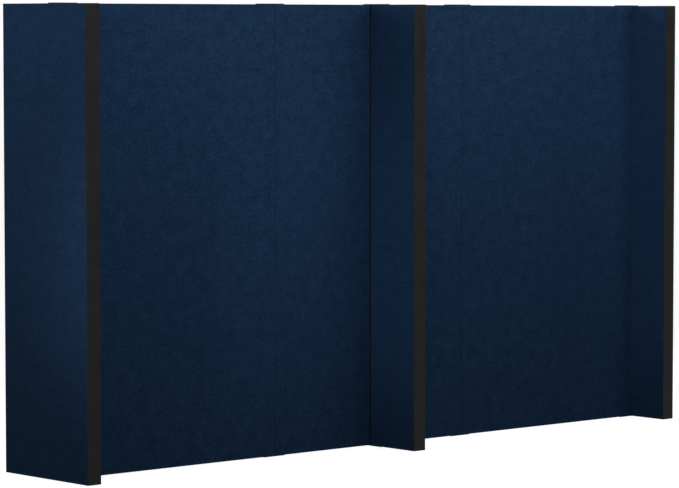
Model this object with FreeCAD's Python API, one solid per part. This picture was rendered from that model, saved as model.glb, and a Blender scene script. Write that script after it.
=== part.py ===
import FreeCAD, Part
import os

# Free-standing modular partition wall: three fabric-faced wall panels in a row, a cross panel
# (fin) on each end and a short fin on the middle panel. Full-height connectors slide down
# into slotted channels and lock the panels together. All sizes are in millimetres.
#
# Frame: +X runs along the wall, +Y points to its back, +Z is up. The origin is the middle of
# the overall plan, on the floor.

# ---- Panels ----
PANEL_HEIGHT = 2133.6          # 7 ft
PANEL_THICKNESS = 74.0
WALL_PANEL_WIDTH = 1219.2      # 4 ft
END_FIN_WIDTH = 609.6          # 2 ft
MIDDLE_FIN_WIDTH = 304.8       # 1 ft
FACE_THICKNESS = 4.0           # 3 mm board with 1 mm felt over it
RAIL_HEIGHT = 40.0             # timber bar along the top and the bottom

# ---- Slotted channels ----
CHANNEL_WALL = 2.5
FACE_CHANNEL_BACKING = 9.5     # core left behind a channel that is let into a face
FACE_SLOT_CLEARANCE = 0.5      # each side, between that channel and the cut in the face

# ---- Connectors ----
ARM_REACH = 64.0               # how far an arm goes into a panel's edge
CONNECTOR_WEB = 6.0
CONNECTOR_FLANGE = 3.0
CONNECTOR_CLEARANCE = 0.5      # each side, inside a channel
CONNECTOR_END_CLEARANCE = 1.0  # between the tip of an arm and the channel
CONNECTOR_STOP_CLEARANCE = 0.5 # above the closed end of a face slot
MOUTH_CLEARANCE = 0.75         # each side, between the web and a channel's lips
SCREW_BOSS_RADIUS = 6.0

# ---- Gaps between panels and places of the fins ----
PANEL_GAP = 1.5                # at a seam, and between a wall panel and an end fin
MIDDLE_FIN_GAP = 11.0          # the middle fin stands a little off the wall
END_FIN_SLOT_OFFSET = 37.0     # the wall meets an end fin this far in front of its centre
MIDDLE_FIN_SLOT_OFFSET = 27.0  # the middle fin stands this far right of the wall's centre

# ---- End plates of the connectors: caps on top, feet below ----
PLATE_THICKNESS = 3.5
PLATE_SETBACK = 7.0            # from the panel's faces
PLATE_CORNER_RADIUS = 5.0
PLATE_EDGE_CHAMFER = 0.6

# ---- Trims on the free edges ----
TRIM_PLATE = 2.0
TRIM_EDGE_RADIUS = 0.8
TRIM_LEG_THICKNESS = 1.5
TRIM_LEG_CLEARANCE = 0.25
TRIM_LEG_LENGTH = 11.0
TRIM_BARB = 1.2                # how far a barb stands out from its leg
TRIM_BARB_LENGTH = 3.5
TRIM_BARB_CLEARANCE = 0.4      # between a barb and the lip it hooks behind

# ---- Countersunk screws and floor glides ----
SCREW_RADIUS = 2.5
SCREW_HEAD_RADIUS = 4.6
SCREW_HEAD_HEIGHT = 2.3
SCREW_HEAD_RECESS = 0.3
SCREW_LENGTH = 26.0
DRIVE_SLOT_LENGTH = 4.4
DRIVE_SLOT_WIDTH = 1.0
DRIVE_SLOT_DEPTH = 1.3
GLIDE_RADIUS = 12.0
GLIDE_EDGE_RADIUS = 1.0
GLIDE_STEM_RADIUS = 4.0
GLIDE_STEM_LENGTH = 20.0
GLIDE_INSET = 25.0             # from the edge channel to the glide's centre

# ---- Sizes that follow from those ----
CHANNEL_WIDTH = PANEL_THICKNESS - 2 * FACE_THICKNESS
CHANNEL_INSIDE = CHANNEL_WIDTH - 2 * CHANNEL_WALL
CHANNEL_MOUTH = CONNECTOR_WEB + 2 * MOUTH_CLEARANCE
EDGE_CHANNEL_DEPTH = ARM_REACH + CONNECTOR_END_CLEARANCE + CHANNEL_WALL
FACE_CHANNEL_DEPTH = PANEL_THICKNESS - FACE_THICKNESS - FACE_CHANNEL_BACKING
FACE_ARM_REACH = FACE_CHANNEL_DEPTH - CHANNEL_WALL - CONNECTOR_END_CLEARANCE
FLANGE_WIDTH = CHANNEL_INSIDE - 2 * CONNECTOR_CLEARANCE
PLATE_WIDTH = PANEL_THICKNESS - 2 * PLATE_SETBACK
SCREW_DEPTH = SCREW_LENGTH - PLATE_THICKNESS + SCREW_HEAD_RECESS  # into what the plate lies on
PANEL_BOTTOM = PLATE_THICKNESS

WALL_LENGTH = 3 * WALL_PANEL_WIDTH + 4 * PANEL_GAP
END_FIN_INNER_X = WALL_LENGTH / 2
SEAM_LEFT_X = -END_FIN_INNER_X + PANEL_GAP + WALL_PANEL_WIDTH
MIDDLE_PANEL_X = SEAM_LEFT_X + PANEL_GAP
SEAM_RIGHT_X = MIDDLE_PANEL_X + WALL_PANEL_WIDTH
RIGHT_PANEL_X = SEAM_RIGHT_X + PANEL_GAP

# Distances from the wall's front face, which give the front face's own place in Y.
END_FIN_BACK_REACH = PANEL_THICKNESS / 2 + END_FIN_SLOT_OFFSET + END_FIN_WIDTH / 2 + TRIM_PLATE
END_FIN_FRONT_REACH = END_FIN_WIDTH + 2 * TRIM_PLATE - END_FIN_BACK_REACH
MIDDLE_FIN_REACH = MIDDLE_FIN_GAP + MIDDLE_FIN_WIDTH + TRIM_PLATE
WALL_FRONT_Y = (max(MIDDLE_FIN_REACH, END_FIN_FRONT_REACH) - END_FIN_BACK_REACH) / 2
WALL_CENTRE_Y = WALL_FRONT_Y + PANEL_THICKNESS / 2
END_FIN_CENTRE_Y = WALL_CENTRE_Y + END_FIN_SLOT_OFFSET
END_FIN_FRONT_Y = END_FIN_CENTRE_Y - END_FIN_WIDTH / 2
END_FIN_BACK_Y = END_FIN_CENTRE_Y + END_FIN_WIDTH / 2
MIDDLE_FIN_BACK_Y = WALL_FRONT_Y - MIDDLE_FIN_GAP
MIDDLE_FIN_FRONT_Y = MIDDLE_FIN_BACK_Y - MIDDLE_FIN_WIDTH
MIDDLE_FIN_LEFT_X = MIDDLE_FIN_SLOT_OFFSET - PANEL_THICKNESS / 2

UP = FreeCAD.Vector(0, 0, 1)
ALONG = FreeCAD.Vector(1, 0, 0)


def block(x_low, x_high, y_low, y_high, z_low, z_high):
    """A box between two corners."""
    corner = FreeCAD.Vector(x_low, y_low, z_low)
    return Part.makeBox(x_high - x_low, y_high - y_low, z_high - z_low, corner)


def place(shape, x, y, z, turn=0.0):
    """A copy of a shape, turned about the upright axis and then moved."""
    placed = shape.copy()
    placed.Placement = FreeCAD.Placement(FreeCAD.Vector(x, y, z), FreeCAD.Rotation(UP, turn))
    return placed


def joined(pieces):
    """One clean solid made of touching pieces."""
    return pieces[0].fuse(pieces[1:]).removeSplitter()


def extruded(points, height):
    """An upright bar whose plan is a closed outline of straight runs."""
    corners = [FreeCAD.Vector(x, y, 0) for x, y in points]
    wire = Part.makePolygon(corners + corners[:1])
    return Part.Face(wire).extrude(FreeCAD.Vector(0, 0, height))


def save(name, solids):
    """Write one sub-part, which is a solid or a group of alike solids."""
    shape = solids[0] if len(solids) == 1 else Part.makeCompound(solids)
    shape.exportStep("parts/" + name + ".step")
    print(name, len(shape.Solids), round(shape.Volume))


# ---- A panel, in its own frame ----
# x runs along the panel's width, y from its slotted face (0) to its other face, and z is 0 at
# the panel's bottom. slot_x is the middle of the slot in that face, or None.

def panel_face(width, slot_x=None):
    """Facing board with felt over it; a slot in it is open at the top and closed at the rail."""
    board = block(0, width, 0, FACE_THICKNESS, 0, PANEL_HEIGHT)
    if slot_x is None:
        return board
    half_slot = CHANNEL_WIDTH / 2 + FACE_SLOT_CLEARANCE
    slot = block(slot_x - half_slot, slot_x + half_slot, 0, FACE_THICKNESS, RAIL_HEIGHT, PANEL_HEIGHT)
    return board.cut(slot)


def channel(depth, height):
    """C-shaped slotted channel: its mouth is at x = 0, and it is centred on y = 0."""
    outer = block(0, depth, -CHANNEL_WIDTH / 2, CHANNEL_WIDTH / 2, 0, height)
    hollow = block(CHANNEL_WALL, depth - CHANNEL_WALL, -CHANNEL_INSIDE / 2, CHANNEL_INSIDE / 2, 0, height)
    mouth = block(0, CHANNEL_WALL, -CHANNEL_MOUTH / 2, CHANNEL_MOUTH / 2, 0, height)
    return outer.cut([hollow, mouth])


def face_channel_space(slot_x):
    """The room that a face channel takes in the top rail and the core."""
    half_width = CHANNEL_WIDTH / 2
    return block(slot_x - half_width, slot_x + half_width, 0, FACE_CHANNEL_DEPTH, 0, PANEL_HEIGHT)


def glide_centres(width):
    """Where a panel's two floor glides stand, along its width."""
    inset = EDGE_CHANNEL_DEPTH + GLIDE_INSET
    return [inset, width - inset]


def panel_core(width, slot_x=None):
    """Light core board between the channels, the rails and the faces."""
    core = block(EDGE_CHANNEL_DEPTH, width - EDGE_CHANNEL_DEPTH, FACE_THICKNESS,
                 PANEL_THICKNESS - FACE_THICKNESS, RAIL_HEIGHT, PANEL_HEIGHT - RAIL_HEIGHT)
    if slot_x is None:
        return core
    return core.cut(face_channel_space(slot_x))


def panel_rail(width):
    """Timber bar between the two edge channels."""
    return block(EDGE_CHANNEL_DEPTH, width - EDGE_CHANNEL_DEPTH, FACE_THICKNESS,
                 PANEL_THICKNESS - FACE_THICKNESS, 0, RAIL_HEIGHT)


def top_rail(width, slot_x=None):
    """Upper bar, notched where a face channel opens at the top."""
    rail = panel_rail(width)
    rail.translate(UP * (PANEL_HEIGHT - RAIL_HEIGHT))
    if slot_x is None:
        return rail
    return rail.cut(face_channel_space(slot_x))


def bottom_rail(width, slot_x=None):
    """Lower bar, with holes for the glides' stems and for the foot's screw under a slot."""
    holes = [Part.makeCylinder(GLIDE_STEM_RADIUS, GLIDE_STEM_LENGTH,
                               FreeCAD.Vector(x, PANEL_THICKNESS / 2, 0))
             for x in glide_centres(width)]
    if slot_x is not None:
        holes.append(Part.makeCylinder(SCREW_RADIUS, SCREW_DEPTH,
                                       FreeCAD.Vector(slot_x, FACE_ARM_REACH / 2, 0)))
    return panel_rail(width).cut(holes)


def glide():
    """Round floor glide with a stem that is driven into the bottom rail."""
    disc = Part.makeCylinder(GLIDE_RADIUS, PLATE_THICKNESS, FreeCAD.Vector(0, 0, -PLATE_THICKNESS))
    rim = [edge for edge in disc.Edges if abs(edge.CenterOfMass.z + PLATE_THICKNESS) < GLIDE_EDGE_RADIUS / 2]
    disc = disc.makeFillet(GLIDE_EDGE_RADIUS, rim)
    return joined([disc, Part.makeCylinder(GLIDE_STEM_RADIUS, GLIDE_STEM_LENGTH)])


def build_panel(name, width, origin, turn, faces, edges, slot_x=None, slot_name=None):
    """Write a panel's pieces, and return its glides in place."""
    x, y = origin
    far_side = PANEL_THICKNESS - FACE_THICKNESS
    middle = PANEL_THICKNESS / 2
    edge = channel(EDGE_CHANNEL_DEPTH, PANEL_HEIGHT)
    pieces = {
        faces[0]: panel_face(width, slot_x),
        faces[1]: place(panel_face(width), 0, far_side, 0),
        "core": panel_core(width, slot_x),
        "top_rail": top_rail(width, slot_x),
        "bottom_rail": bottom_rail(width, slot_x),
        edges[0]: place(edge, 0, middle, 0),
        edges[1]: place(edge, width, middle, 0, 180),
    }
    if slot_x is not None:
        slotted = channel(FACE_CHANNEL_DEPTH, PANEL_HEIGHT - RAIL_HEIGHT)
        pieces[slot_name] = place(slotted, slot_x, 0, RAIL_HEIGHT, 90)
    for part, shape in pieces.items():
        save(name + "_" + part, [in_place(shape, x, y, turn)])
    return [in_place(place(glide(), centre, middle, 0), x, y, turn) for centre in glide_centres(width)]


def in_place(shape, x, y, turn):
    """Move a shape from a panel's frame to the wall's frame."""
    move = FreeCAD.Placement(FreeCAD.Vector(x, y, PANEL_BOTTOM), FreeCAD.Rotation(UP, turn))
    placed = shape.copy()
    placed.Placement = move.multiply(shape.Placement)
    return placed


# ---- A connector, in its own frame ----
# x runs from one panel into the next: the first panel ends at x = 0 and the next one starts
# at x = gap. y is 0 at the middle of the web, and z is 0 at the panels' bottom.

def connector_screw_places(first_reach, gap):
    """Where the screws of a cap or foot go, along the connector."""
    return [-first_reach / 2, gap + ARM_REACH / 2]


def connector(first_reach, gap, into_face):
    """Full-height connector: one web with a pair of flanges in each channel."""
    web = block(-first_reach, gap + ARM_REACH, -CONNECTOR_WEB / 2, CONNECTOR_WEB / 2, 0, PANEL_HEIGHT)
    behind_lip = CHANNEL_WALL + CONNECTOR_CLEARANCE
    flange_starts = [-first_reach, -behind_lip - CONNECTOR_FLANGE,
                     gap + behind_lip, gap + ARM_REACH - CONNECTOR_FLANGE]
    flanges = [block(start, start + CONNECTOR_FLANGE, -FLANGE_WIDTH / 2, FLANGE_WIDTH / 2, 0, PANEL_HEIGHT)
               for start in flange_starts]
    screw_places = connector_screw_places(first_reach, gap)
    bosses = [Part.makeCylinder(SCREW_BOSS_RADIUS, PANEL_HEIGHT, FreeCAD.Vector(x, 0, 0))
              for x in screw_places]
    body = joined([web] + flanges + bosses)
    holes = [Part.makeCylinder(SCREW_RADIUS, SCREW_DEPTH, FreeCAD.Vector(x, 0, z))
             for x in screw_places for z in (0, PANEL_HEIGHT - SCREW_DEPTH)]
    if into_face:
        stop = RAIL_HEIGHT + CONNECTOR_STOP_CLEARANCE
        holes.append(block(-first_reach, 0, -FLANGE_WIDTH / 2, FLANGE_WIDTH / 2, 0, stop))
    return body.cut(holes)


def end_plate(first_reach, gap):
    """Flat plate over a connector's end, with countersunk holes; it lies below z = 0."""
    plate = block(-first_reach, gap + ARM_REACH, -PLATE_WIDTH / 2, PLATE_WIDTH / 2, -PLATE_THICKNESS, 0)
    uprights = [edge for edge in plate.Edges
                if abs(edge.tangentAt(edge.FirstParameter).z) > 0.5]
    plate = plate.makeFillet(PLATE_CORNER_RADIUS, uprights)
    rim = [edge for edge in plate.Edges if abs(edge.BoundBox.ZMax + PLATE_THICKNESS) < PLATE_EDGE_CHAMFER / 2]
    plate = plate.makeChamfer(PLATE_EDGE_CHAMFER, rim)
    head_z = -PLATE_THICKNESS + SCREW_HEAD_RECESS
    cuts = []
    for x in connector_screw_places(first_reach, gap):
        cuts.append(Part.makeCylinder(SCREW_RADIUS, PLATE_THICKNESS, FreeCAD.Vector(x, 0, -PLATE_THICKNESS)))
        cuts.append(Part.makeCylinder(SCREW_HEAD_RADIUS, SCREW_HEAD_RECESS,
                                      FreeCAD.Vector(x, 0, -PLATE_THICKNESS)))
        cuts.append(Part.makeCone(SCREW_HEAD_RADIUS, SCREW_RADIUS, SCREW_HEAD_HEIGHT,
                                  FreeCAD.Vector(x, 0, head_z)))
    return plate.cut(cuts)


def plate_screws(first_reach, gap):
    """The two countersunk screws of one end plate."""
    head_z = -PLATE_THICKNESS + SCREW_HEAD_RECESS
    screws = []
    for x in connector_screw_places(first_reach, gap):
        foot = FreeCAD.Vector(x, 0, head_z)
        head = Part.makeCone(SCREW_HEAD_RADIUS, SCREW_RADIUS, SCREW_HEAD_HEIGHT, foot)
        shank = Part.makeCylinder(SCREW_RADIUS, SCREW_LENGTH, foot)
        half_length = DRIVE_SLOT_LENGTH / 2
        half_width = DRIVE_SLOT_WIDTH / 2
        bottom = head_z + DRIVE_SLOT_DEPTH
        cross = [block(x - half_length, x + half_length, -half_width, half_width, head_z, bottom),
                 block(x - half_width, x + half_width, -half_length, half_length, head_z, bottom)]
        screws.append(joined([head, shank]).cut(cross))
    return screws


def turned_over(shape):
    """Turn a foot's pieces over end for end across the web, so that they sit on the panels' top."""
    flipped = shape.copy()
    flipped.Placement = FreeCAD.Placement(FreeCAD.Vector(0, 0, PANEL_HEIGHT), FreeCAD.Rotation(ALONG, 180))
    return flipped


# Each connector: name, reach into the first panel, gap, place of the first panel's end, turn,
# and whether the first panel takes it in its face.
CONNECTORS = [
    ("left_seam_connector", ARM_REACH, PANEL_GAP, (SEAM_LEFT_X, WALL_CENTRE_Y), 0, False),
    ("right_seam_connector", ARM_REACH, PANEL_GAP, (SEAM_RIGHT_X, WALL_CENTRE_Y), 0, False),
    ("left_fin_connector", FACE_ARM_REACH, PANEL_GAP, (-END_FIN_INNER_X, WALL_CENTRE_Y), 0, True),
    ("right_fin_connector", FACE_ARM_REACH, PANEL_GAP, (END_FIN_INNER_X, WALL_CENTRE_Y), 180, True),
    ("middle_fin_connector", FACE_ARM_REACH, MIDDLE_FIN_GAP, (MIDDLE_FIN_SLOT_OFFSET, WALL_FRONT_Y), -90, True),
]


def build_connectors():
    """Write the connectors, then their caps, feet and screws as groups."""
    caps = []
    feet = []
    screws = []
    for name, reach, gap, (x, y), turn, into_face in CONNECTORS:
        save(name, [in_place(connector(reach, gap, into_face), x, y, turn)])
        plate = end_plate(reach, gap)
        feet.append(in_place(plate, x, y, turn))
        caps.append(in_place(turned_over(plate), x, y, turn))
        for screw in plate_screws(reach, gap):
            screws.append(in_place(screw, x, y, turn))
            screws.append(in_place(turned_over(screw), x, y, turn))
    save("connector_caps", caps)
    save("connector_feet", feet)
    save("plate_screws", screws)


# ---- Trim on a free edge ----
# The panel ends at x = 0, and the trim's plate lies outside it, towards -x.

def trim():
    """Flat cover strip with two barbed legs that snap behind the lips of an edge channel."""
    half_thickness = PANEL_THICKNESS / 2
    plate = block(-TRIM_PLATE, 0, -half_thickness, half_thickness, 0, PANEL_HEIGHT)
    corners = [edge for edge in plate.Edges
               if edge.BoundBox.ZLength > PANEL_HEIGHT / 2 and edge.CenterOfMass.x < -TRIM_PLATE / 2]
    plate = plate.makeFillet(TRIM_EDGE_RADIUS, corners)
    outer = CHANNEL_MOUTH / 2 - TRIM_LEG_CLEARANCE
    inner = outer - TRIM_LEG_THICKNESS
    barb_x = CHANNEL_WALL + TRIM_BARB_CLEARANCE
    leg = [(0, inner), (TRIM_LEG_LENGTH, inner), (TRIM_LEG_LENGTH, outer),
           (barb_x + TRIM_BARB_LENGTH, outer), (barb_x, outer + TRIM_BARB), (barb_x, outer), (0, outer)]
    mirrored = [(x, -y) for x, y in leg]
    return joined([plate, extruded(leg, PANEL_HEIGHT), extruded(mirrored, PANEL_HEIGHT)])


# Each trim: name, place of the panel's end, and turn.
END_FIN_MIDDLE_X = END_FIN_INNER_X + PANEL_THICKNESS / 2
TRIMS = [
    ("left_fin_front_trim", (-END_FIN_MIDDLE_X, END_FIN_FRONT_Y), 90),
    ("left_fin_back_trim", (-END_FIN_MIDDLE_X, END_FIN_BACK_Y), -90),
    ("middle_fin_front_trim", (MIDDLE_FIN_SLOT_OFFSET, MIDDLE_FIN_FRONT_Y), 90),
    ("right_fin_front_trim", (END_FIN_MIDDLE_X, END_FIN_FRONT_Y), 90),
    ("right_fin_back_trim", (END_FIN_MIDDLE_X, END_FIN_BACK_Y), -90),
]


def main():
    """Write every sub-part into parts/."""
    os.makedirs("parts", exist_ok=True)
    wall_faces = ("front_face", "back_face")
    wall_edges = ("left_edge", "right_edge")
    fin_faces = ("inner_face", "outer_face")
    glides = []
    glides += build_panel("left_panel", WALL_PANEL_WIDTH, (-END_FIN_INNER_X + PANEL_GAP, WALL_FRONT_Y), 0,
                          wall_faces, wall_edges)
    glides += build_panel("middle_panel", WALL_PANEL_WIDTH, (MIDDLE_PANEL_X, WALL_FRONT_Y), 0,
                          wall_faces, wall_edges, MIDDLE_FIN_SLOT_OFFSET - MIDDLE_PANEL_X, "face_slot")
    glides += build_panel("right_panel", WALL_PANEL_WIDTH, (RIGHT_PANEL_X, WALL_FRONT_Y), 0,
                          wall_faces, wall_edges)
    glides += build_panel("left_fin", END_FIN_WIDTH, (-END_FIN_INNER_X, END_FIN_FRONT_Y), 90,
                          fin_faces, ("front_edge", "back_edge"),
                          END_FIN_WIDTH / 2 - END_FIN_SLOT_OFFSET, "face_slot")
    glides += build_panel("right_fin", END_FIN_WIDTH, (END_FIN_INNER_X, END_FIN_BACK_Y), -90,
                          fin_faces, ("back_edge", "front_edge"),
                          END_FIN_WIDTH / 2 + END_FIN_SLOT_OFFSET, "face_slot")
    glides += build_panel("middle_fin", MIDDLE_FIN_WIDTH, (MIDDLE_FIN_LEFT_X, MIDDLE_FIN_BACK_Y), -90,
                          ("left_face", "right_face"), ("back_edge", "front_edge"))
    save("floor_glides", glides)
    build_connectors()
    for name, (x, y), turn in TRIMS:
        save(name, [in_place(trim(), x, y, turn)])


main()
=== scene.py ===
import math

import bmesh
import bpy
from bpy.props import FloatProperty, FloatVectorProperty, IntProperty, PointerProperty
from mathutils import Matrix, Vector


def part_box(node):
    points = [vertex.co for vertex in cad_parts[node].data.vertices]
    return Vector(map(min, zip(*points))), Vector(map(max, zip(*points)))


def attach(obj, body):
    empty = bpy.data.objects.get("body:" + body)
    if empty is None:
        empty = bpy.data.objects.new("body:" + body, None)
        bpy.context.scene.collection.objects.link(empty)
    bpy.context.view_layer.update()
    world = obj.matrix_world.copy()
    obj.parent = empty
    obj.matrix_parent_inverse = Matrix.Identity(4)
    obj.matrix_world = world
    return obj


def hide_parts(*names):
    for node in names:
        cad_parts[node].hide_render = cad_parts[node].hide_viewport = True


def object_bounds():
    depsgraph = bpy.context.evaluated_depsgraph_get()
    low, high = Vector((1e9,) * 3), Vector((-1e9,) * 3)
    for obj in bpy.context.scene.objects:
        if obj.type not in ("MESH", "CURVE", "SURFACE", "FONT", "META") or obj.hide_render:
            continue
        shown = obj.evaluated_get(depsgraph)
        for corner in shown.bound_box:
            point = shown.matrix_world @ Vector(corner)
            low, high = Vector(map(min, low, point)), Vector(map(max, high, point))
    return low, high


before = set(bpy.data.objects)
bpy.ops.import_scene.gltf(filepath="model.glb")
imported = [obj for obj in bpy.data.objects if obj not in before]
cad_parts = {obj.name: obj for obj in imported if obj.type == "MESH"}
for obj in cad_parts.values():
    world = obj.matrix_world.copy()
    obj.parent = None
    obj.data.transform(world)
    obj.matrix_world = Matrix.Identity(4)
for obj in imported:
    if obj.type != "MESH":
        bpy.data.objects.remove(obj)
CAD_LOW, CAD_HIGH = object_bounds()

bl_info = {
    "name": "Modular partition wall",
    "version": (1, 0, 0),
    "blender": (4, 5, 0),
    "location": "3D View > Sidebar > Partition wall",
    "description": "Felt faces, finishes and a studio for a free-standing display wall of slotted panels",
    "category": "Add Mesh",
}

# Every length is in metres. +X runs along the wall, +Y points to its back, +Z is up.
BODY = "root"
FELT_MAP = "felt_cut"

# Where the felt of each group of panels starts on the roll, and the length given to each face.
WALL_ROLL_PLACE = 0.0
FIN_ROLL_PLACE = 40.0
ROLL_STEP = 5.0

# The two felt-covered faces of each panel.
PANEL_FACES = {
    "left_panel": ("front_face", "back_face"),
    "middle_panel": ("front_face", "back_face"),
    "right_panel": ("front_face", "back_face"),
    "left_fin": ("inner_face", "outer_face"),
    "right_fin": ("inner_face", "outer_face"),
    "middle_fin": ("left_face", "right_face"),
}
WALL_PANELS = ("left_panel", "middle_panel", "right_panel")
FINS = ("left_fin", "right_fin", "middle_fin")

# The faces with a slot that another panel plugs into.
SLOTTED_FACES = ("middle_panel_front_face", "left_fin_inner_face", "right_fin_inner_face")

# Shares of wide clumps, clumps and hairs in the felt's mottle, and the part of its range in use.
MOTTLE_SHARES = (0.20, 0.50, 0.34)
MOTTLE_RANGE = (0.47, 0.63)

# Texture scale of the wide clumps, as a share of the clumps' own.
WIDE_CLUMP_SCALE = 0.22

# Direction of each lay of hairs in radians, and its texture scale along them, small to draw them out.
HAIR_LAYS = ((0.6, 0.16), (-0.7, 0.16), (1.7, 0.2))

# Each fin spot's place as seen from what it lights, and the angle of its cone in degrees.
MIDDLE_FIN_SPOT = (Vector((-12.0, -2.8, 0.2)), 9.5)
RIGHT_FIN_SPOT = (Vector((-4.3, -0.25, 1.95)), 20.0)

# How far they aim below the middle fin's middle, and below the right fin's top.
MIDDLE_FIN_AIM_DROP = 0.12
RIGHT_FIN_AIM_DROP = 0.1

# Depth of the relief on the plastics, the rails, the foam and the screws.
PLASTIC_RELIEF = 0.00012
TIMBER_RELIEF = 0.00015
FOAM_RELIEF = 0.0003
STEEL_RELIEF = 0.00005

# Roughness, strength of the lengthwise die lines and specular level of each plastic.
PLASTIC_FINISH = {
    "charcoal_trim_plastic": (0.42, 0.1, 0.11),
    "black_channel_plastic": (0.55, 0.5, 0.5),
    "black_connector_plastic": (0.38, 0.6, 0.5),
    "black_plate_plastic": (0.5, 0.0, 0.5),
    "dark_nylon": (0.42, 0.0, 0.4),
}

BLACK = (0.0, 0.0, 0.0, 1.0)
WHITE = (1.0, 1.0, 1.0, 1.0)
FOAM_BEAD = (0.88, 0.88, 0.86, 1.0)
FOAM_JOINT = (0.55, 0.55, 0.53, 1.0)
WORN_STEEL = (0.20, 0.19, 0.18, 1.0)
FLOOR_SHADE = (0.25, 0.25, 0.25, 1.0)


# ---- Settings ----

def colour_property(name, description, default):
    """A linear colour that is edited with the colour picker."""
    return FloatVectorProperty(name=name, description=description, default=default,
                               size=3, min=0.0, max=1.0, subtype="COLOR")


def length_property(name, description, default):
    """A length in metres."""
    return FloatProperty(name=name, description=description, default=default,
                         min=0.0, unit="LENGTH", subtype="DISTANCE", precision=4)


def factor_property(name, description, default):
    """A strength or a share, where 1 is the usual or the whole, up to 2."""
    return FloatProperty(name=name, description=description, default=default,
                         min=0.0, max=2.0, subtype="FACTOR")


def power_property(name, description, default):
    """The strength of a light."""
    return FloatProperty(name=name, description=description, default=default, min=0.0, subtype="POWER")


class FeltSettings(bpy.types.PropertyGroup):
    """The navy felt that covers both faces of every panel."""
    edge_radius: length_property("Edge radius", "Rounding where felt turns over a board's edge", 0.0012)
    edge_segments: IntProperty(name="Edge segments", description="Steps in that rounding", default=3, min=1)
    slot_clearance: length_property("Slot clearance", "Felt cut back from each side of a channel", 0.0005)
    shade: colour_property("Shade", "Felt colour between the fibre clumps", (0.0066, 0.0190, 0.0455))
    light: colour_property("Light", "Felt colour on the fibre clumps", (0.0125, 0.0345, 0.0810))
    clump_size: length_property("Clump size", "Size of the mottled clumps of fibre", 0.013)
    wall_mottle: factor_property("Wall mottle", "Strength of the mottle on the wall panels", 1.15)
    fin_mottle: factor_property("Fin mottle", "Strength of the mottle on the fins", 0.8)
    fibre_size: length_property("Fibre size", "Spacing of the single fibres", 0.0016)
    pile_height: length_property("Pile height", "Height of the fibre relief", 0.0006)


class PlasticSettings(bpy.types.PropertyGroup):
    """The plastics: strips on the free edges, channels, connectors, end plates and glides."""
    trim: colour_property("Trims", "Charcoal of the strips on the free edges", (0.0062, 0.0061, 0.0058))
    channel: colour_property("Channels", "Black of the slotted channels", (0.012, 0.012, 0.012))
    connector: colour_property("Connectors", "Black of the connectors", (0.016, 0.016, 0.016))
    plate: colour_property("End plates", "Black of the caps and feet", (0.016, 0.016, 0.017))
    glide: colour_property("Glides", "Dark nylon of the floor glides", (0.026, 0.026, 0.025))
    grain_size: length_property("Grain size", "Spacing of the moulded grain", 0.0014)


class InsideSettings(bpy.types.PropertyGroup):
    """What the panels are made of behind the felt, and the screws."""
    timber_light: colour_property("Early wood", "Stained wood between its rings", (0.056, 0.047, 0.039))
    timber_dark: colour_property("Late wood", "Stained wood in its rings", (0.026, 0.021, 0.017))
    ring_width: length_property("Ring width", "Spacing of the growth rings", 0.006)
    foam: colour_property("Core board", "Expanded foam of the cores", (0.80, 0.80, 0.77))
    bead_size: length_property("Bead size", "Size of the foam's beads", 0.0035)
    screw: colour_property("Screws", "Blackened steel of the countersunk screws", (0.055, 0.055, 0.058))


class StageSettings(bpy.types.PropertyGroup):
    """Camera, lights and floor."""
    azimuth: FloatProperty(name="Azimuth", description="How far the view is turned from looking along +Y",
                           default=math.radians(41.803), subtype="ANGLE", unit="ROTATION")
    pitch: FloatProperty(name="Pitch", description="How far the view looks down",
                         default=math.radians(3.775), subtype="ANGLE", unit="ROTATION")
    distance: length_property("Distance", "From the camera to the point it aims at", 16.239)
    aim_height: length_property("Aim height", "Height of the point that the camera aims at", 0.9806)
    aim_left: length_property("Aim left", "How far that point is left of the object's middle", 0.1309)
    lens: FloatProperty(name="Lens", description="Focal length in millimetres on a 36 mm sensor",
                        default=177.65, min=1.0)
    softbox_distance: length_property("Softbox distance", "From the object's box to each softbox", 2.3)
    softbox_height: length_property("Softbox height", "Height of the middle of the softboxes", 2.9)
    softbox_aim: factor_property("Softbox aim", "Height the softboxes aim at, in heights of the wall", 1.1)
    softbox_depth: length_property("Softbox depth", "Upright size of every softbox", 1.4)
    front_width: length_property("Front width", "Width of the front and back softboxes", 6.0)
    side_width: length_property("Side width", "Width of the left and right softboxes", 2.7)
    softbox_power: power_property("Softbox power", "Light for each square metre of softbox", 13.2)
    middle_fin_power: power_property("Middle fin power", "Spot on the middle fin's left face", 1850.0)
    right_fin_power: power_property("Right fin power", "Spot on the top of the right fin", 175.0)
    room_light: factor_property("Room light", "Strength of the even light of the room", 0.09)
    floor_reach: length_property("Floor reach", "From the middle of the floor to its edges", 150.0)
    floor_drop: length_property("Floor drop", "Hairline between the floor and the feet on it", 0.0002)
    floor: colour_property("Floor", "Pale floor", (0.30, 0.30, 0.30))
    floor_glow: factor_property("Floor glow", "Even brightness of the floor", 0.92)


class PartitionWallSettings(bpy.types.PropertyGroup):
    """All the sizes and colours of the wall's looks."""
    felt: PointerProperty(type=FeltSettings, name="Felt", description="Felt faces")
    plastic: PointerProperty(type=PlasticSettings, name="Plastics", description="Plastic pieces")
    inside: PointerProperty(type=InsideSettings, name="Inside", description="Cores, rails and screws")
    stage: PointerProperty(type=StageSettings, name="Stage", description="Camera, lights and floor")


# ---- Node helpers ----

def plug(tree, socket, value):
    """Link a socket to another node's output, or set it to a value."""
    if isinstance(value, bpy.types.NodeSocket):
        tree.links.new(value, socket)
    else:
        socket.default_value = value


def add(tree, kind, inputs=None, **settings):
    """A new shader node with its settings and inputs given."""
    made = tree.nodes.new("ShaderNode" + kind)
    for name, value in settings.items():
        setattr(made, name, value)
    for name, value in (inputs or {}).items():
        plug(tree, made.inputs[name], value)
    return made


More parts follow.
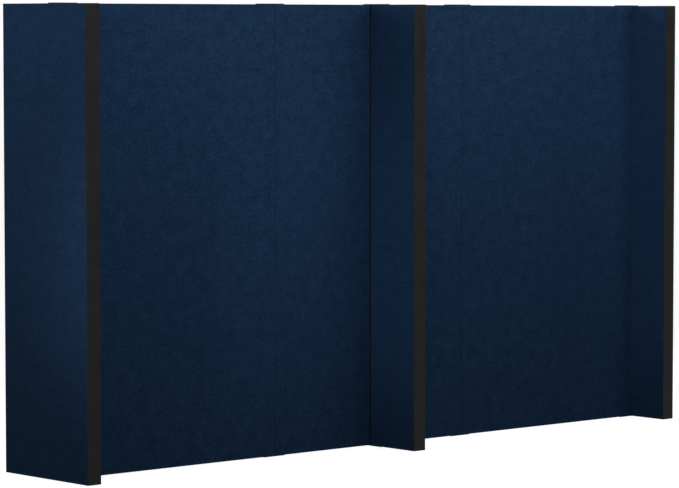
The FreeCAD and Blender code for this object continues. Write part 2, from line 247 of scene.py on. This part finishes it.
def maths(tree, operation, first, second):
    """One sum, product or other step between two values."""
    made = add(tree, "Math", {0: first, 1: second}, operation=operation)
    return made.outputs[0]


def blended(tree, factor, first, second):
    """A colour between two colours."""
    made = tree.nodes.new("ShaderNodeMix")
    made.data_type = "RGBA"
    for place, value in ((0, factor), (6, first), (7, second)):
        plug(tree, made.inputs[place], value)
    return made.outputs[2]


def ranged(tree, value, low, high, new_low=0.0, new_high=1.0):
    """A value stretched from one range to another and held inside it."""
    made = add(tree, "MapRange", {0: value, 1: low, 2: high, 3: new_low, 4: new_high})
    return made.outputs[0]


def noise(tree, place, size, detail, roughness=0.5):
    """Noise whose features are about as large as size."""
    made = add(tree, "TexNoise", {"Vector": place, "Scale": 1.0 / size, "Detail": detail,
                                  "Roughness": roughness})
    return made.outputs["Fac"]


def rgba(colour):
    """A colour property's value with full alpha."""
    return (*colour, 1.0)


def node_group(name, inputs, outputs):
    """An empty shader node group with its sockets, and its input and output nodes."""
    tree = bpy.data.node_groups.new(name, "ShaderNodeTree")
    for label, kind, default in inputs:
        socket = tree.interface.new_socket(name=label, in_out="INPUT", socket_type=kind)
        if default is not None:
            socket.default_value = default
    for label, kind in outputs:
        tree.interface.new_socket(name=label, in_out="OUTPUT", socket_type=kind)
    return tree, tree.nodes.new("NodeGroupInput").outputs, tree.nodes.new("NodeGroupOutput").inputs


def placed_group(tree, group, inputs):
    """A node group put into a material, with its values given."""
    made = tree.nodes.new("ShaderNodeGroup")
    made.node_tree = group
    for name, value in inputs.items():
        plug(tree, made.inputs[name], value)
    return made.outputs


# ---- Shared effects ----

def plastic_grain_group():
    """Fine moulded grain with faint lines drawn lengthwise, as extruded plastic has."""
    name = "plastic_grain"
    if name in bpy.data.node_groups:
        return bpy.data.node_groups[name]
    tree, given, result = node_group(
        name,
        [("Vector", "NodeSocketVector", None), ("Colour", "NodeSocketColor", None),
         ("Grain Size", "NodeSocketFloat", 0.0014), ("Die Lines", "NodeSocketFloat", 0.3),
         ("Roughness", "NodeSocketFloat", 0.5)],
        [("Colour", "NodeSocketColor"), ("Roughness", "NodeSocketFloat"), ("Height", "NodeSocketFloat")])
    finer = maths(tree, "DIVIDE", 1.0, given["Grain Size"])
    grain = add(tree, "TexVoronoi", {"Vector": given["Vector"], "Scale": finer, "Randomness": 1.0},
                feature="SMOOTH_F1").outputs["Distance"]
    drawn = add(tree, "Mapping", {"Vector": given["Vector"], "Scale": (1.0, 1.0, 0.004)}).outputs[0]
    lines = noise(tree, drawn, 0.0016, 3.0)
    smudge = noise(tree, given["Vector"], 0.09, 4.0, 0.6)
    relief = maths(tree, "ADD", maths(tree, "MULTIPLY", grain, 0.6),
                   maths(tree, "MULTIPLY", lines, given["Die Lines"]))
    darker = blended(tree, 0.22, given["Colour"], BLACK)
    paler = blended(tree, 0.012, given["Colour"], WHITE)
    shade = maths(tree, "ADD", maths(tree, "MULTIPLY", grain, 0.35), maths(tree, "MULTIPLY", smudge, 0.65))
    tree.links.new(blended(tree, ranged(tree, shade, 0.2, 0.8), darker, paler), result["Colour"])
    uneven = ranged(tree, smudge, 0.3, 0.7, -0.05, 0.05)
    tree.links.new(maths(tree, "ADD", given["Roughness"], uneven), result["Roughness"])
    tree.links.new(relief, result["Height"])
    return tree


def fibre_group():
    """Needled fibres: wide clumps, clumps and crossing hairs, for the felt's colour and relief."""
    name = "needled_fibres"
    if name in bpy.data.node_groups:
        return bpy.data.node_groups[name]
    tree, given, result = node_group(
        name,
        [("Vector", "NodeSocketVector", None), ("Clump Size", "NodeSocketFloat", 0.013),
         ("Fibre Size", "NodeSocketFloat", 0.0016)],
        [("Mottle", "NodeSocketFloat"), ("Height", "NodeSocketFloat")])
    clump_scale = maths(tree, "DIVIDE", 1.0, given["Clump Size"])
    fibre_scale = maths(tree, "DIVIDE", 1.0, given["Fibre Size"])
    wide_scale = maths(tree, "MULTIPLY", clump_scale, WIDE_CLUMP_SCALE)
    wide = add(tree, "TexNoise", {"Vector": given["Vector"], "Scale": wide_scale,
                                  "Detail": 3.0, "Roughness": 0.5}).outputs["Fac"]
    clumps = add(tree, "TexNoise", {"Vector": given["Vector"], "Scale": clump_scale,
                                    "Detail": 4.0, "Roughness": 0.72, "Distortion": 0.15}).outputs["Fac"]
    hairs = []
    for turn, squeeze in HAIR_LAYS:
        laid = add(tree, "Mapping", {"Vector": given["Vector"], "Rotation": (0.0, 0.0, turn)}).outputs[0]
        drawn = add(tree, "Mapping", {"Vector": laid, "Scale": (squeeze, 1.0, 1.0)}).outputs[0]
        hairs.append(add(tree, "TexNoise", {"Vector": drawn, "Scale": fibre_scale, "Detail": 2.0,
                                            "Roughness": 0.6, "Distortion": 0.8}).outputs["Fac"])
    tangle = maths(tree, "MAXIMUM", maths(tree, "MAXIMUM", hairs[0], hairs[1]), hairs[2])
    parts = [maths(tree, "MULTIPLY", part, share)
             for part, share in zip((wide, clumps, tangle), MOTTLE_SHARES)]
    mottle = maths(tree, "ADD", maths(tree, "ADD", parts[0], parts[1]), parts[2])
    tree.links.new(mottle, result["Mottle"])
    tree.links.new(maths(tree, "ADD", maths(tree, "MULTIPLY", clumps, 0.5), tangle), result["Height"])
    return tree


# ---- Materials ----

def new_material(name, **constants):
    """A material with one Principled shader, whose constants are set on its own sockets."""
    material = bpy.data.materials.new(name)
    material.use_nodes = True
    tree = material.node_tree
    shader = tree.nodes["Principled BSDF"]
    for label, value in constants.items():
        shader.inputs[label.replace("_", " ").title().replace("Ior", "IOR")].default_value = value
    return material, tree, shader


def raised(tree, shader, height, depth, strength):
    """Relief of a given depth under the shader's normal."""
    bump = add(tree, "Bump", {"Height": height, "Distance": depth, "Strength": strength})
    tree.links.new(bump.outputs["Normal"], shader.inputs["Normal"])


def own_place(tree):
    """Object coordinates, in metres."""
    return add(tree, "TexCoord").outputs["Object"]


def felt_material(name, felt, mottle):
    """Matt navy needle felt, mottled between its shade and its light colour."""
    material, tree, shader = new_material(name, specular_ior_level=0.02, sheen_weight=0.006,
                                          sheen_roughness=0.6)
    cut = add(tree, "UVMap", uv_map=FELT_MAP).outputs["UV"]
    fibres = placed_group(tree, fibre_group(), {"Vector": cut, "Clump Size": felt.clump_size,
                                                "Fibre Size": felt.fibre_size})
    factor = ranged(tree, fibres["Mottle"], *MOTTLE_RANGE, 0.5 - mottle / 2, 0.5 + mottle / 2)
    batch = noise(tree, cut, 0.9, 1.0)
    shade = blended(tree, ranged(tree, batch, 0.3, 0.7, 0.0, 0.10), rgba(felt.shade), rgba(felt.light))
    plug(tree, shader.inputs["Base Color"], blended(tree, factor, shade, rgba(felt.light)))
    plug(tree, shader.inputs["Roughness"], ranged(tree, fibres["Mottle"], 0.3, 0.7, 1.0, 0.86))
    raised(tree, shader, fibres["Height"], felt.pile_height, 0.6)
    return material


def plastic_material(name, colour, grain_size):
    """Grained black or charcoal plastic."""
    roughness, die_lines, specular = PLASTIC_FINISH[name]
    material, tree, shader = new_material(name, specular_ior_level=specular)
    grain = placed_group(tree, plastic_grain_group(), {
        "Vector": own_place(tree), "Colour": rgba(colour), "Grain Size": grain_size,
        "Die Lines": die_lines, "Roughness": roughness})
    plug(tree, shader.inputs["Base Color"], grain["Colour"])
    plug(tree, shader.inputs["Roughness"], grain["Roughness"])
    raised(tree, shader, grain["Height"], PLASTIC_RELIEF, 0.5)
    return material


def timber_material(name, inside, turn):
    """Black-brown stained softwood, with its grain turned to run along the rail."""
    material, tree, shader = new_material(name, specular_ior_level=0.25)
    place = add(tree, "Mapping", {"Vector": own_place(tree), "Rotation": (0.0, 0.0, turn)}).outputs[0]
    drawn = add(tree, "Mapping", {"Vector": place, "Scale": (0.05, 1.0, 1.0)}).outputs[0]
    wander = noise(tree, drawn, 0.05, 3.0)
    sway = add(tree, "CombineXYZ", {"Y": maths(tree, "MULTIPLY", wander, 0.02),
                                    "Z": maths(tree, "MULTIPLY", wander, 0.012)}).outputs[0]
    bent = add(tree, "VectorMath", {0: drawn, 1: sway}, operation="ADD").outputs[0]
    rings = add(tree, "TexWave", {"Vector": bent, "Scale": 0.16 / inside.ring_width,
                                  "Distortion": 1.2, "Detail": 2.0, "Detail Scale": 1.5},
                wave_type="RINGS", rings_direction="X", wave_profile="SAW").outputs["Fac"]
    stretched = add(tree, "Mapping", {"Vector": place, "Scale": (0.03, 1.0, 1.0)}).outputs[0]
    pores = noise(tree, stretched, 0.0008, 2.0)
    tone = maths(tree, "ADD", maths(tree, "MULTIPLY", rings, 0.75), maths(tree, "MULTIPLY", pores, 0.35))
    plug(tree, shader.inputs["Base Color"],
         blended(tree, ranged(tree, tone, 0.25, 0.95), rgba(inside.timber_light), rgba(inside.timber_dark)))
    plug(tree, shader.inputs["Roughness"], ranged(tree, tone, 0.2, 1.0, 0.55, 0.72))
    raised(tree, shader, tone, TIMBER_RELIEF, 0.4)
    return material


def foam_material(inside):
    """Expanded foam board of pressed beads."""
    material, tree, shader = new_material("pressed_bead_foam", specular_ior_level=0.3)
    place = own_place(tree)
    cells = add(tree, "TexVoronoi", {"Vector": place, "Scale": 1.0 / inside.bead_size},
                feature="DISTANCE_TO_EDGE").outputs["Distance"]
    joint = ranged(tree, cells, 0.0, 0.12)
    tint = noise(tree, place, 0.02, 2.0)
    body = blended(tree, tint, rgba(inside.foam), FOAM_BEAD)
    plug(tree, shader.inputs["Base Color"], blended(tree, joint, FOAM_JOINT, body))
    plug(tree, shader.inputs["Roughness"], ranged(tree, tint, 0.3, 0.7, 0.7, 0.85))
    raised(tree, shader, joint, FOAM_RELIEF, 0.5)
    return material


def screw_material(inside):
    """Blackened steel with a few worn, paler patches."""
    material, tree, shader = new_material("blackened_steel", metallic=0.9)
    place = own_place(tree)
    bloom = noise(tree, place, 0.0022, 3.0)
    pits = noise(tree, place, 0.0005, 2.0)
    worn = ranged(tree, bloom, 0.55, 0.75, 0.0, 0.5)
    plug(tree, shader.inputs["Base Color"], blended(tree, worn, rgba(inside.screw), WORN_STEEL))
    plug(tree, shader.inputs["Roughness"], ranged(tree, bloom, 0.3, 0.7, 0.34, 0.52))
    raised(tree, shader, pits, STEEL_RELIEF, 0.4)
    return material


def paint(nodes, material):
    """Give carried-over nodes a material in every slot."""
    for name in nodes:
        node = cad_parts[name]
        if not node.material_slots:
            node.data.materials.append(material)
        for place in node.material_slots:
            place.material = material


def nodes_ending(*endings):
    """The names of the nodes that end in one of these words."""
    found = sorted(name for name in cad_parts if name.endswith(endings))
    if not found:
        raise RuntimeError(f"no node ends in {endings}")
    return found


# ---- Felt faces ----

def flat_face(bm, along, middle, width, height):
    """An upright rectangle that faces across the panel."""
    bmesh.ops.create_grid(bm, x_segments=1, y_segments=1, size=0.5)
    bmesh.ops.scale(bm, vec=(width, height, 1.0), verts=bm.verts)
    upright = Matrix.Rotation(math.radians(90), 3, "X")
    bmesh.ops.rotate(bm, cent=(0, 0, 0), matrix=upright, verts=bm.verts)
    if along == 1:
        turned = Matrix.Rotation(math.radians(90), 3, "Z")
        bmesh.ops.rotate(bm, cent=(0, 0, 0), matrix=turned, verts=bm.verts)
    bmesh.ops.translate(bm, vec=middle, verts=bm.verts)


def cut_across(bm, place, direction):
    """Cut the flat felt along a plane, and keep both sides."""
    geometry = bm.verts[:] + bm.edges[:] + bm.faces[:]
    bmesh.ops.bisect_plane(bm, geom=geometry, dist=1e-7, plane_co=place, plane_no=direction)


def cut_slot(bm, panel, along, clearance):
    """Open the flat felt over the slotted channel in the panel's face."""
    low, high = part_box(panel + "_face_slot")
    sides = (low[along] - clearance, high[along] + clearance)
    direction = Vector((1 - along, along, 0))
    for side in sides:
        cut_across(bm, direction * side, direction)
    cut_across(bm, (0, 0, low.z), (0, 0, 1))
    slot = [face for face in bm.faces if sides[0] < face.calc_center_median()[along] < sides[1]
            and face.calc_center_median().z > low.z]
    bmesh.ops.delete(bm, geom=slot, context="FACES")


def thickened(bm, across, depth):
    """Give the flat felt its depth across the panel, and close it."""
    grown = bmesh.ops.extrude_face_region(bm, geom=bm.faces[:], use_keep_orig=True)
    moved = [item for item in grown["geom"] if isinstance(item, bmesh.types.BMVert)]
    shift = Vector((0, 0, 0))
    shift[across] = depth
    bmesh.ops.translate(bm, vec=shift, verts=moved)
    bmesh.ops.recalc_face_normals(bm, faces=bm.faces[:])


def rounded_rim(bm, across, outer, felt):
    """Round the edges where the felt turns over its board."""
    rim = [edge for edge in bm.edges if all(abs(vert.co[across] - outer) < 1e-6 for vert in edge.verts)
           and len(edge.link_faces) == 2 and edge.calc_face_angle() > math.radians(45)]
    bmesh.ops.bevel(bm, geom=rim, offset=felt.edge_radius, offset_type="OFFSET", affect="EDGES",
                    segments=felt.edge_segments, profile=0.5, material=-1)
    bmesh.ops.recalc_face_normals(bm, faces=bm.faces[:])


def laid_on_roll(bm, along, across, roll_place):
    """Map the felt in metres on its own stretch of the roll."""
    cut = bm.loops.layers.uv.new(FELT_MAP)
    for loop in (loop for face in bm.faces for loop in face.loops):
        place = loop.vert.co
        loop[cut].uv = (place[along] + place[across] + roll_place, place.z + place[across])


def felt_face(panel, face, roll_place, felt, material):
    """One face board in its felt: a thin plate with the felt turned over its outer edges."""
    node = f"{panel}_{face}"
    low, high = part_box(node)
    size = high - low
    across = 0 if size.x < size.y else 1
    along = 1 - across
    core_low, core_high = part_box(panel + "_core")
    outward = 1.0 if low[across] + high[across] > core_low[across] + core_high[across] else -1.0
    inner = low[across] if outward > 0 else high[across]
    depth = outward * size[across]
    middle = (low + high) / 2
    middle[across] = inner

    bm = bmesh.new()
    flat_face(bm, along, middle, size[along], size.z)
    if node in SLOTTED_FACES:
        cut_slot(bm, panel, along, felt.slot_clearance)
    thickened(bm, across, depth)
    rounded_rim(bm, across, inner + depth, felt)
    laid_on_roll(bm, along, across, roll_place)

    mesh = bpy.data.meshes.new(f"{panel}_{face}_felt")
    bm.to_mesh(mesh)
    bm.free()
    mesh.materials.append(material)
    piece = bpy.data.objects.new(mesh.name, mesh)
    bpy.context.scene.collection.objects.link(piece)
    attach(piece, BODY)
    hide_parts(node)


def felt_faces(panels, felt, material, roll_place):
    """Both felt faces of some panels, each cut from its own stretch of the roll."""
    for panel in panels:
        for face in PANEL_FACES[panel]:
            felt_face(panel, face, roll_place, felt, material)
            roll_place += ROLL_STEP


class PARTITION_OT_wall_felts(bpy.types.Operator):
    """Cover the front and back of the three wall panels with felt"""
    bl_idname = "partition_wall.wall_felts"
    bl_label = "Wall panel felts"

    def execute(self, context):
        felt = context.scene.partition_wall.felt
        material = felt_material("navy_wall_felt", felt, felt.wall_mottle)
        felt_faces(WALL_PANELS, felt, material, WALL_ROLL_PLACE)
        return {"FINISHED"}


class PARTITION_OT_fin_felts(bpy.types.Operator):
    """Cover both faces of the three fins with felt"""
    bl_idname = "partition_wall.fin_felts"
    bl_label = "Fin felts"

    def execute(self, context):
        felt = context.scene.partition_wall.felt
        material = felt_material("navy_fin_felt", felt, felt.fin_mottle)
        felt_faces(FINS, felt, material, FIN_ROLL_PLACE)
        return {"FINISHED"}


class PARTITION_OT_trims(bpy.types.Operator):
    """Finish the charcoal strips on the fins' free edges"""
    bl_idname = "partition_wall.trims"
    bl_label = "Edge trims"

    def execute(self, context):
        plastic = context.scene.partition_wall.plastic
        paint(nodes_ending("_trim"),
              plastic_material("charcoal_trim_plastic", plastic.trim, plastic.grain_size))
        return {"FINISHED"}


class PARTITION_OT_channels(bpy.types.Operator):
    """Finish the slotted channels in the panels' edges and faces"""
    bl_idname = "partition_wall.channels"
    bl_label = "Slotted channels"

    def execute(self, context):
        plastic = context.scene.partition_wall.plastic
        paint(nodes_ending("_edge", "_face_slot"),
              plastic_material("black_channel_plastic", plastic.channel, plastic.grain_size))
        return {"FINISHED"}


class PARTITION_OT_connectors(bpy.types.Operator):
    """Finish the full-height connectors"""
    bl_idname = "partition_wall.connectors"
    bl_label = "Connectors"

    def execute(self, context):
        plastic = context.scene.partition_wall.plastic
        paint(nodes_ending("_connector"),
              plastic_material("black_connector_plastic", plastic.connector, plastic.grain_size))
        return {"FINISHED"}


class PARTITION_OT_end_plates(bpy.types.Operator):
    """Finish the caps on top of the connectors and the feet under them"""
    bl_idname = "partition_wall.end_plates"
    bl_label = "Caps and feet"

    def execute(self, context):
        plastic = context.scene.partition_wall.plastic
        paint(("connector_caps", "connector_feet"),
              plastic_material("black_plate_plastic", plastic.plate, plastic.grain_size))
        return {"FINISHED"}


class PARTITION_OT_screws(bpy.types.Operator):
    """Finish the countersunk screws of the caps and feet"""
    bl_idname = "partition_wall.screws"
    bl_label = "Screws"

    def execute(self, context):
        paint(("plate_screws",), screw_material(context.scene.partition_wall.inside))
        return {"FINISHED"}


class PARTITION_OT_glides(bpy.types.Operator):
    """Finish the nylon glides under the bottom rails"""
    bl_idname = "partition_wall.glides"
    bl_label = "Floor glides"

    def execute(self, context):
        plastic = context.scene.partition_wall.plastic
        paint(("floor_glides",), plastic_material("dark_nylon", plastic.glide, plastic.grain_size))
        return {"FINISHED"}


class PARTITION_OT_rails(bpy.types.Operator):
    """Finish the stained rails, with the grain along each rail"""
    bl_idname = "partition_wall.rails"
    bl_label = "Timber rails"

    def execute(self, context):
        inside = context.scene.partition_wall.inside
        for panels, name, turn in ((WALL_PANELS, "stained_wood_along_wall", 0.0),
                                   (FINS, "stained_wood_along_fins", math.radians(90))):
            rails = [f"{panel}_{rail}" for panel in panels for rail in ("top_rail", "bottom_rail")]
            paint(rails, timber_material(name, inside, turn))
        return {"FINISHED"}


class PARTITION_OT_cores(bpy.types.Operator):
    """Finish the foam cores between the felt faces"""
    bl_idname = "partition_wall.cores"
    bl_label = "Foam cores"

    def execute(self, context):
        paint(nodes_ending("_core"), foam_material(context.scene.partition_wall.inside))
        return {"FINISHED"}


# ---- Stage ----

def floor_material(colour, glow):
    """Pale, matt, evenly bright studio floor with a faint roller texture."""
    material, tree, shader = new_material("pale_floor", roughness=0.9, specular_ior_level=0.0,
                                          emission_strength=glow)
    grain = noise(tree, own_place(tree), 0.4, 3.0)
    plug(tree, shader.inputs["Base Color"],
         blended(tree, ranged(tree, grain, 0.3, 0.7, 0.0, 0.03), rgba(colour), FLOOR_SHADE))
    shader.inputs["Emission Color"].default_value = WHITE
    return material


def pale_floor(stage):
    """A wide floor under the object that takes its soft shadow but throws no light back."""
    bm = bmesh.new()
    bmesh.ops.create_grid(bm, x_segments=1, y_segments=1, size=stage.floor_reach)
    bmesh.ops.translate(bm, vec=(0, 0, CAD_LOW.z - stage.floor_drop), verts=bm.verts)
    mesh = bpy.data.meshes.new("studio_floor")
    bm.to_mesh(mesh)
    bm.free()
    mesh.materials.append(floor_material(stage.floor, stage.floor_glow))
    floor = bpy.data.objects.new("studio_floor", mesh)
    bpy.context.scene.collection.objects.link(floor)
    floor.visible_diffuse = False


def hung(light, place, towards):
    """Hang a light at a place and aim it, unseen by the camera and in reflections."""
    lamp = bpy.data.objects.new(light.name, light)
    lamp.location = place
    lamp.rotation_euler = (towards - place).to_track_quat("-Z", "Y").to_euler()
    lamp.visible_camera = False
    lamp.visible_glossy = False
    bpy.context.scene.collection.objects.link(lamp)


def softbox(name, place, towards, width, stage):
    """A rectangular area light."""
    light = bpy.data.lights.new(name, "AREA")
    light.shape = "RECTANGLE"
    light.size = width
    light.size_y = stage.softbox_depth
    light.energy = stage.softbox_power * width * stage.softbox_depth
    aim_height = CAD_HIGH.z * stage.softbox_aim
    hung(light, Vector((*place, stage.softbox_height)), Vector((*towards, aim_height)))


def softboxes(stage):
    """A softbox on each side of the object, above eye level."""
    middle = (CAD_LOW + CAD_HIGH) / 2
    reach = stage.softbox_distance
    for name, place, towards, width in (
            ("front_softbox", (middle.x, CAD_LOW.y - reach), (middle.x, middle.y), stage.front_width),
            ("back_softbox", (middle.x, CAD_HIGH.y + reach), (middle.x, middle.y), stage.front_width),
            ("left_softbox", (CAD_LOW.x - reach, middle.y), (CAD_LOW.x, middle.y), stage.side_width),
            ("right_softbox", (CAD_HIGH.x + reach, middle.y), (CAD_HIGH.x, middle.y), stage.side_width)):
        softbox(name, place, towards, width, stage)


def spot(name, towards, settings, power):
    """A soft round spot on one face of a fin."""
    offset, cone = settings
    light = bpy.data.lights.new(name, "SPOT")
    light.energy = power
    light.spot_size = math.radians(cone)
    light.spot_blend = 1.0
    light.shadow_soft_size = 0.3
    hung(light, towards + offset, towards)


def fin_spots(stage):
    """One spot from far left on the middle fin, and one from high left on the right fin's top."""
    low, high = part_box("middle_fin_left_face")
    face = (low + high) / 2 - Vector((0, 0, MIDDLE_FIN_AIM_DROP))
    spot("middle_fin_spot", face, MIDDLE_FIN_SPOT, stage.middle_fin_power)
    low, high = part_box("right_fin_inner_face")
    wall_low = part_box("right_panel_front_face")[0]
    top = Vector((low.x, (low.y + wall_low.y) / 2, high.z - RIGHT_FIN_AIM_DROP))
    spot("right_fin_spot", top, RIGHT_FIN_SPOT, stage.right_fin_power)


def room(stage):
    """Even room light, with a white background behind the object."""
    world = bpy.data.worlds.new("studio_room")
    world.use_nodes = True
    tree = world.node_tree
    background = tree.nodes["Background"]
    background.inputs["Color"].default_value = WHITE
    seen = add(tree, "LightPath").outputs["Is Camera Ray"]
    plug(tree, background.inputs["Strength"], ranged(tree, seen, 0.0, 1.0, stage.room_light, 1.0))
    bpy.context.scene.world = world


def aimed_camera(stage):
    """The camera, at a person's eye level, looking at the wall's front and left end."""
    middle = (CAD_LOW + CAD_HIGH) / 2
    right = Vector((math.cos(stage.azimuth), -math.sin(stage.azimuth), 0))
    aim = Vector((middle.x, middle.y, 0)) - right * stage.aim_left
    aim.z = stage.aim_height
    ahead = Vector((math.sin(stage.azimuth) * math.cos(stage.pitch),
                    math.cos(stage.azimuth) * math.cos(stage.pitch), -math.sin(stage.pitch)))
    lens = bpy.data.cameras.new("studio_camera")
    lens.sensor_fit = "HORIZONTAL"
    lens.sensor_width = 36.0
    lens.lens = stage.lens
    lens.clip_end = 500.0
    camera = bpy.data.objects.new("studio_camera", lens)
    camera.location = aim - ahead * stage.distance
    camera.rotation_euler = (math.radians(90) - stage.pitch, 0, -stage.azimuth)
    bpy.context.scene.collection.objects.link(camera)
    bpy.context.scene.camera = camera


class PARTITION_OT_stage(bpy.types.Operator):
    """Put the wall on a pale floor, with soft studio light and a camera"""
    bl_idname = "partition_wall.stage"
    bl_label = "Stage"

    def execute(self, context):
        stage = context.scene.partition_wall.stage
        pale_floor(stage)
        softboxes(stage)
        fin_spots(stage)
        room(stage)
        aimed_camera(stage)
        context.scene.view_settings.view_transform = "Standard"
        return {"FINISHED"}


# ---- Panel and registration ----

SETTINGS = (FeltSettings, PlasticSettings, InsideSettings, StageSettings, PartitionWallSettings)
OPERATORS = (
    PARTITION_OT_stage,
    PARTITION_OT_wall_felts,
    PARTITION_OT_fin_felts,
    PARTITION_OT_trims,
    PARTITION_OT_channels,
    PARTITION_OT_connectors,
    PARTITION_OT_end_plates,
    PARTITION_OT_screws,
    PARTITION_OT_glides,
    PARTITION_OT_rails,
    PARTITION_OT_cores,
)


class PARTITION_PT_sidebar(bpy.types.Panel):
    """Buttons for every group of pieces and for the stage, with their settings"""
    bl_idname = "PARTITION_PT_sidebar"
    bl_label = "Partition wall"
    bl_space_type = "VIEW_3D"
    bl_region_type = "UI"
    bl_category = "Partition wall"

    def draw(self, context):
        settings = context.scene.partition_wall
        for operator in OPERATORS:
            self.layout.operator(operator.bl_idname)
        for label, group in (("Felt", settings.felt), ("Plastics", settings.plastic),
                             ("Inside", settings.inside), ("Stage", settings.stage)):
            box = self.layout.box()
            box.label(text=label)
            for name in type(group).__annotations__:
                box.prop(group, name)


def register():
    """Register the settings, the operators and the panel."""
    for item in SETTINGS + OPERATORS + (PARTITION_PT_sidebar,):
        bpy.utils.register_class(item)
    bpy.types.Scene.partition_wall = PointerProperty(type=PartitionWallSettings)


def unregister():
    """Take them away again."""
    del bpy.types.Scene.partition_wall
    for item in reversed(SETTINGS + OPERATORS + (PARTITION_PT_sidebar,)):
        bpy.utils.unregister_class(item)


def main():
    """Make every piece in order."""
    register()
    bpy.ops.partition_wall.stage()
    bpy.ops.partition_wall.wall_felts()
    bpy.ops.partition_wall.fin_felts()
    bpy.ops.partition_wall.trims()
    bpy.ops.partition_wall.channels()
    bpy.ops.partition_wall.connectors()
    bpy.ops.partition_wall.end_plates()
    bpy.ops.partition_wall.screws()
    bpy.ops.partition_wall.glides()
    bpy.ops.partition_wall.rails()
    bpy.ops.partition_wall.cores()


if __name__ == "__main__":
    main()
